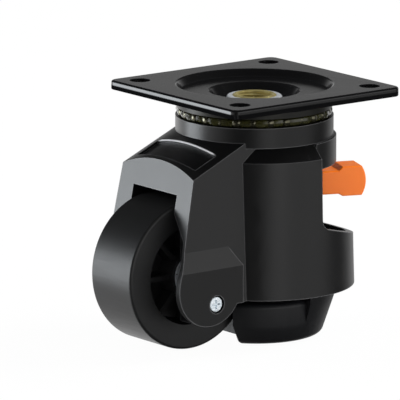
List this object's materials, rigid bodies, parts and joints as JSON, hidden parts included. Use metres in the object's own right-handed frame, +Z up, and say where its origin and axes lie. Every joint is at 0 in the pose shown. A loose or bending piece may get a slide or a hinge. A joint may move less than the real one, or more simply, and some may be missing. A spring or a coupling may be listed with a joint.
{
  "type": "levelling castor",
  "caption": "Swivel castor on a square plate with a nylon wheel in an arched black housing and a rubber levelling foot, raised or lowered by an orange ratchet lever.",
  "frame": {"origin": "centre of the mounting plate's top face, on the swivel axis", "axes": "+Z up out of the plate's top, -X towards the wheel, +X towards the open rear of the housing, Y along the axle; at rest the ratchet lever stands 21 degrees off +X towards -Y"},
  "size_m": [0.1253, 0.09, 0.1086],
  "materials": {
    "plate_black": "satin black coating",
    "bearing_black": "dark hardened steel",
    "housing_black": "satin black coated casting",
    "wheel_nylon": "satin black nylon",
    "foot_rubber": "bluish black rubber",
    "lever_orange": "satin orange nylon",
    "bright_zinc": "bright zinc plate",
    "yellow_zinc": "yellow zinc plate",
    "ball_steel": "hard steel, greased",
    "ratchet_zinc": "dull zinc casting",
    "bronze": "sintered bronze"
  },
  "bodies": {
    "plate": {"mounting_plate": "plate_black", "upper_track": "bearing_black", "kingpin": "yellow_zinc", "kingpin_ring": "bright_zinc", "ball_cup": "bearing_black", "small_balls": "ball_steel"},
    "swivel_housing": {"housing": "housing_black", "large_balls": "ball_steel", "axle": "bright_zinc", "axle_keepers": "housing_black", "keeper_screws": "bright_zinc", "spacer_washers": "bright_zinc", "upper_thrust_washer": "ball_steel", "lower_thrust_washer": "ball_steel", "stem_bush": "bronze"},
    "road_wheel": {"wheel": "wheel_nylon", "wheel_bush": "bright_zinc"},
    "nut": {"levelling_nut": "bright_zinc"},
    "ratchet": {"ratchet_ring": "ratchet_zinc", "ring_plug": "ratchet_zinc", "pawl_spring": "ball_steel"},
    "pawl_slide": {"pawl_washer": "bright_zinc"},
    "hand_lever": {"lever": "lever_orange", "pawl": "bright_zinc"},
    "foot": {"foot_pad": "foot_rubber", "foot_plate": "housing_black", "threaded_stem": "bright_zinc", "foot_screw": "bright_zinc", "guide_rods": "bright_zinc"}
  },
  "joints": [
    {"name": "swivel", "type": "hinge", "parent": "plate", "child": "swivel_housing", "pos_m": [0, 0, 0], "axis": [0, 0, 1], "continuous": true},
    {"name": "wheel_spin", "type": "hinge", "parent": "swivel_housing", "child": "road_wheel", "pos_m": [-0.0448, 0, -0.0756], "axis": [0, 1, 0], "continuous": true},
    {"name": "nut_turn", "type": "hinge", "parent": "swivel_housing", "child": "nut", "pos_m": [0.004, 0, -0.0447], "axis": [0, 0, 1], "range_deg": [-375, 1455]},
    {"name": "foot_lift", "type": "slide", "parent": "swivel_housing", "child": "foot", "axis": [0, 0, -1], "range_m": [-0.003, 0.012]},
    {"name": "lever_swing", "type": "hinge", "parent": "swivel_housing", "child": "ratchet", "pos_m": [0.004, 0, -0.0447], "axis": [0, 0, 1], "range_deg": [-39, 81]},
    {"name": "lever_pull", "type": "slide", "parent": "ratchet", "child": "pawl_slide", "axis": [0.9336, -0.3584, 0], "range_m": [-0.002, 0.0012], "deforming": ["pawl_spring"]},
    {"name": "lever_turn", "type": "hinge", "parent": "pawl_slide", "child": "hand_lever", "pos_m": [0.02827, -0.00932, -0.0447], "axis": [0.9336, -0.3584, 0], "range_deg": [0, 180]}
  ],
  "couplings": [
    {"joint": "nut_turn", "follows": "foot_lift", "rad_per_m": 2094.4}
  ]
}
